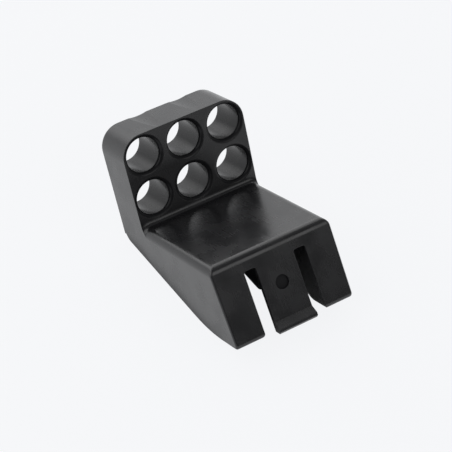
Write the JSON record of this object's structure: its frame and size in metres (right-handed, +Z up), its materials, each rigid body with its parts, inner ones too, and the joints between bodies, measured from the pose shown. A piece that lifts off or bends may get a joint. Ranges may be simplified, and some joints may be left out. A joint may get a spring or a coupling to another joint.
{
  "type": "inclined test tube rack",
  "caption": "One-piece moulded test tube rack: a block of round bores leans back over a hollow base with a flat seat and a slotted front wall with a snap tongue.",
  "frame": {"origin": "under the middle of the rack's bounding box, on the surface it stands on", "axes": "+X across the rack from its left to its right as seen from the front, +Y to the back, +Z up; the bores point forward and up, 20.5 degrees above -Y"},
  "size_m": [0.0652, 0.1232, 0.0618],
  "materials": {
    "body": "semi-gloss black moulded plastic with a fine texture"
  },
  "bodies": {
    "root": {"rack_body": "body"}
  },
  "joints": []
}
